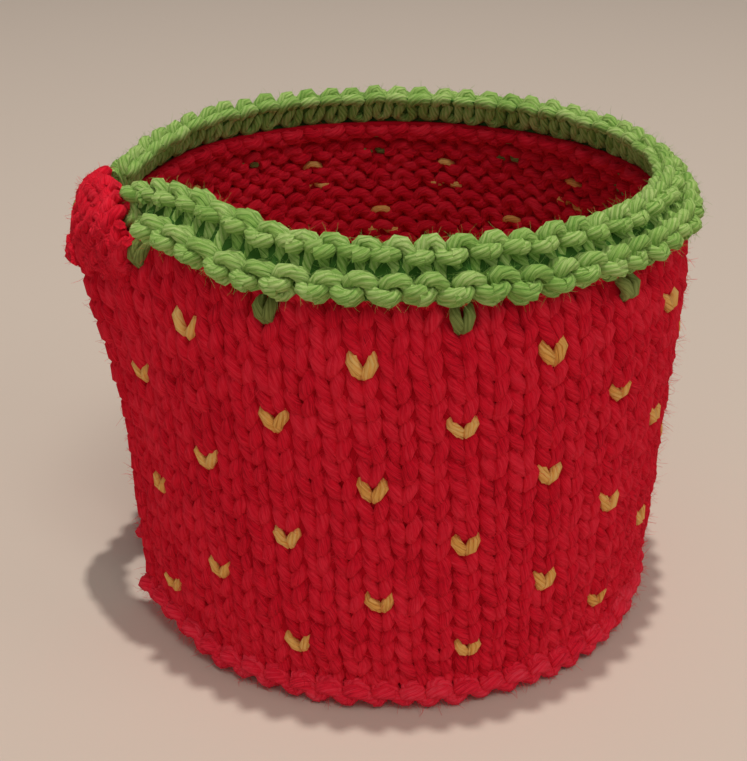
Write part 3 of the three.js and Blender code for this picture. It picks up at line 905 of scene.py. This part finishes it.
def fuzz_tree():
    """Grows curled fibres out of the yarn, on its side that faces out of the cloth."""
    sizes = ("Density", "Length", "Fibre Radius", "Lean", "Curl")
    inputs = {"Yarn": "Geometry", "Material": "Material", **{size: "Float" for size in sizes}, "Seed": "Int"}
    tree, given, result = new_tree("Loose fibres", inputs, "Fibres")
    seed = given["Seed"]
    normal = node(tree, "GeometryNodeInputNormal").outputs[0]
    facing = node(tree, "ShaderNodeVectorMath", {0: normal, 1: named(tree, "facing", "FLOAT_VECTOR")},
                  operation="DOT_PRODUCT").outputs["Value"]
    outside = node(tree, "FunctionNodeCompare", {0: facing, 1: FACING_OUT},
                   operation="GREATER_THAN").outputs[0]
    roots = node(tree, "GeometryNodeDistributePointsOnFaces", {
        "Mesh": given["Yarn"], "Selection": outside, "Density": given["Density"], "Seed": seed})
    chance = node(tree, "FunctionNodeRandomValue", {0: (-1, -1, -1), 1: (1, 1, 1), 8: seed},
                  data_type="FLOAT_VECTOR").outputs[0]
    way = vector_node(tree, "ADD", roots.outputs["Normal"], scaled(tree, chance, given["Lean"]))
    turned = node(tree, "FunctionNodeAlignRotationToVector", {"Vector": way}, axis="Z").outputs[0]
    long = random_number(tree, FIBRE_SHORTEST, FIBRE_LONGEST, seed, 1)
    long = math_node(tree, "MULTIPLY", long, given["Length"])
    line = node(tree, "GeometryNodeCurvePrimitiveLine", {"End": (0, 0, 1)}).outputs[0]
    line = node(tree, "GeometryNodeResampleCurve", {"Curve": line, "Count": FIBRE_POINTS}).outputs[0]
    grown = node(tree, "GeometryNodeInstanceOnPoints", {
        "Points": roots.outputs["Points"], "Instance": line, "Rotation": turned, "Scale": long}).outputs[0]
    grown = store(tree, grown, "tone", random_number(tree, 0, 1, seed, 2), domain="INSTANCE")
    fibres = node(tree, "GeometryNodeRealizeInstances", {"Geometry": grown}).outputs[0]
    tip = node(tree, "GeometryNodeSplineParameter").outputs["Factor"]
    place = node(tree, "GeometryNodeInputPosition").outputs[0]
    waft = node(tree, "ShaderNodeTexNoise",
                {"Vector": place, "Scale": WAFT_SCALE, "Detail": 0}).outputs["Color"]
    waft = scaled(tree, vector_node(tree, "SUBTRACT", waft, (0.5, 0.5, 0.5)),
                  math_node(tree, "MULTIPLY", given["Curl"], tip))
    fibres = node(tree, "GeometryNodeSetPosition", {"Geometry": fibres, "Offset": waft}).outputs[0]

    # Fibres that reach the floor lie along it.
    moved = node(tree, "GeometryNodeInputPosition").outputs[0]
    parts = node(tree, "ShaderNodeSeparateXYZ", {0: moved}).outputs
    above_floor = math_node(tree, "MAXIMUM", parts["Z"], given["Fibre Radius"])
    lying = node(tree, "ShaderNodeCombineXYZ",
                 {"X": parts["X"], "Y": parts["Y"], "Z": above_floor}).outputs[0]
    fibres = node(tree, "GeometryNodeSetPosition", {"Geometry": fibres, "Position": lying}).outputs[0]
    ring = node(tree, "GeometryNodeCurvePrimitiveCircle",
                {"Resolution": FIBRE_SIDES, "Radius": given["Fibre Radius"]}).outputs[0]
    fine = math_node(tree, "MULTIPLY_ADD", tip, -FIBRE_TAPER, 1)
    fibres = node(tree, "GeometryNodeCurveToMesh", {
        "Curve": fibres, "Profile Curve": ring, "Scale": fine, "Fill Caps": True}).outputs[0]
    fibres = node(tree, "GeometryNodeRealizeInstances", {"Geometry": fibres}).outputs[0]
    fibres = node(tree, "GeometryNodeSetMaterial",
                  {"Geometry": fibres, "Material": given["Material"]}).outputs[0]
    tree.links.new(fibres, result)
    return tree


LOOSE_FIBRES = fuzz_tree()


def fibre_wool(name, deep, light):
    """Single wool fibres: matt, each with its own tone between two colours."""
    material = bpy.data.materials.new(name)
    material.use_nodes = True
    tree = material.node_tree
    shader = tree.nodes["Principled BSDF"]
    tone = node(tree, "ShaderNodeAttribute", attribute_name="tone")
    colour = node(tree, "ShaderNodeMix", {0: tone.outputs["Fac"], 6: deep, 7: light}, data_type="RGBA")
    tree.links.new(colour.outputs[2], shader.inputs["Base Color"])
    shader.inputs["Roughness"].default_value = 0.8
    shader.inputs["Specular IOR Level"].default_value = 0.1
    return material


def fuzz(name, yarn, material, slot, count, seed, **sizes):
    """A piece of about so many fibres that stand on a piece's yarn."""
    mesh = yarn.data.copy()
    normals = mesh_values(mesh.polygons, "normal", 3, np.float32).reshape(-1, 3)
    areas = mesh_values(mesh.polygons, "area", 1, np.float32)
    firsts = mesh_values(mesh.polygons, "loop_start", 1, np.int32)
    corners = mesh_values(mesh.loops, "vertex_index", 1, np.int32)
    facing = mesh_values(mesh.attributes["facing"].data, "vector", 3, np.float32).reshape(-1, 3)
    outward = np.sum(normals * facing[corners[firsts]], axis=1) > FACING_OUT
    piece = bpy.data.objects.new(name, mesh)
    bpy.context.scene.collection.objects.link(piece)
    values = {key.replace("_", " ").title(): size for key, size in sizes.items()}
    for key in ("Length", "Fibre Radius", "Curl"):
        values[key] *= MM
    values.update({"Material": material, "Density": count / areas[outward].sum(), "Seed": seed})
    run_tree(piece, LOOSE_FIBRES, values)
    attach(piece, "root")
    return piece


red_fibre = fibre_wool("red_fibre", linear(214, 16, 42), linear(252, 54, 76))
green_fibre = fibre_wool("green_fibre", linear(96, 150, 56), linear(180, 216, 120))
close_fuzz = {"length": 1.5, "fibre_radius": 0.04, "lean": 2.4, "curl": 1.8}
loose_fuzz = {"length": 1.9, "fibre_radius": 0.02, "lean": 1.4, "curl": 2.6}
short_fuzz = {**close_fuzz, "length": 1.0}
green_fuzz = {**close_fuzz, "length": 1.2, "fibre_radius": 0.025}
panel_fuzz = fuzz("panel_fuzz", panel_stitches, red_fibre, "red_yarn", count=13500, seed=21, **close_fuzz)
panel_strays = fuzz("panel_strays", panel_stitches, red_fibre, "red_yarn", count=10000, seed=25, **loose_fuzz)
edge_fuzz = fuzz("edge_fuzz", edge_stitches, red_fibre, "red_yarn", count=900, seed=26, **close_fuzz)
hem_fuzz = fuzz("hem_fuzz", hem_stitches, red_fibre, "red_yarn", count=3000, seed=22, **close_fuzz)
strap_fuzz = fuzz("strap_fuzz", strap_stitches, red_fibre, "red_yarn", count=600, seed=23, **short_fuzz)
collar_fuzz = fuzz("collar_fuzz", collar_stitches, green_fibre, "green_yarn",
                   count=9000, seed=24, **green_fuzz)


# Floor and light
# A plain pale floor under the cosy, and studio light: a small lamp straight above, a broad one above the
# front, and a fill at either side.
FLOOR_HALF = 3.0
floor = new_object("floor", [(-FLOOR_HALF, -FLOOR_HALF, 0), (FLOOR_HALF, -FLOOR_HALF, 0),
                             (FLOOR_HALF, FLOOR_HALF, 0), (-FLOOR_HALF, FLOOR_HALF, 0)], [(0, 1, 2, 3)])
floor_finish = bpy.data.materials.new("pale_floor")
floor_finish.use_nodes = True
floor_shader = floor_finish.node_tree.nodes["Principled BSDF"]
floor_shader.inputs["Base Color"].default_value = linear(206, 192, 180)
floor_shader.inputs["Roughness"].default_value = 0.7
floor.data.materials.append(floor_finish)

world = bpy.data.worlds.new("studio")
world.use_nodes = True
background = world.node_tree.nodes["Background"]
background.inputs["Color"].default_value = (1.0, 0.96, 0.92, 1)
background.inputs["Strength"].default_value = 0.23
bpy.context.scene.world = world


def soft_light(name, place, aim, size, power):
    """A square studio panel at a place, turned to its aim."""
    lamp = bpy.data.lights.new(name, "AREA")
    lamp.size = size
    lamp.energy = power
    lamp.color = (1.0, 0.95, 0.88)
    held = bpy.data.objects.new(name, lamp)
    held.location = place
    held.rotation_euler = (Vector(aim) - Vector(place)).to_track_quat("-Z", "Y").to_euler()
    bpy.context.scene.collection.objects.link(held)


soft_light("overhead", (0.02, 0.0, 1.6), aim=(0, 0, 0.04), size=0.04, power=12.8)
soft_light("front_ceiling", (0.1, -0.6, 1.2), aim=(0, 0, 0.04), size=0.4, power=3.6)
soft_light("right_fill", (0.85, -0.45, 0.6), aim=(0, 0, 0.04), size=0.5, power=1.2)
soft_light("left_fill", (-0.6, -0.8, 0.12), aim=(0, 0, 0.03), size=0.5, power=1.1)


# Camera
# It stands where the photograph was taken: a little above the collar, looking down on it, with the
# slot at the left.
CAMERA_PLACE = Vector((-0.0370, -0.1990, 0.1420))
CAMERA_YAW, CAMERA_PITCH, CAMERA_ROLL = (math.radians(angle) for angle in (10.216, 27.11, 0.507))
CAMERA_LENS = 57.91
CAMERA_SENSOR = 36
CAMERA_NEAREST = 0.01
level = math.cos(CAMERA_PITCH)
ahead = Vector((math.sin(CAMERA_YAW) * level, math.cos(CAMERA_YAW) * level, -math.sin(CAMERA_PITCH)))
right = Vector((math.cos(CAMERA_YAW), -math.sin(CAMERA_YAW), 0))
above = right.cross(ahead)
rolled_right = math.cos(CAMERA_ROLL) * right + math.sin(CAMERA_ROLL) * above
rolled_above = math.cos(CAMERA_ROLL) * above - math.sin(CAMERA_ROLL) * right
lens = bpy.data.cameras.new("camera")
lens.lens = CAMERA_LENS
lens.sensor_width = CAMERA_SENSOR
lens.clip_start = CAMERA_NEAREST
camera = bpy.data.objects.new("camera", lens)
camera_turn = Matrix((rolled_right, rolled_above, -ahead)).transposed().to_4x4()
camera.matrix_world = Matrix.Translation(CAMERA_PLACE) @ camera_turn
bpy.context.scene.collection.objects.link(camera)
bpy.context.scene.camera = camera
bpy.context.scene.view_settings.view_transform = "Standard"
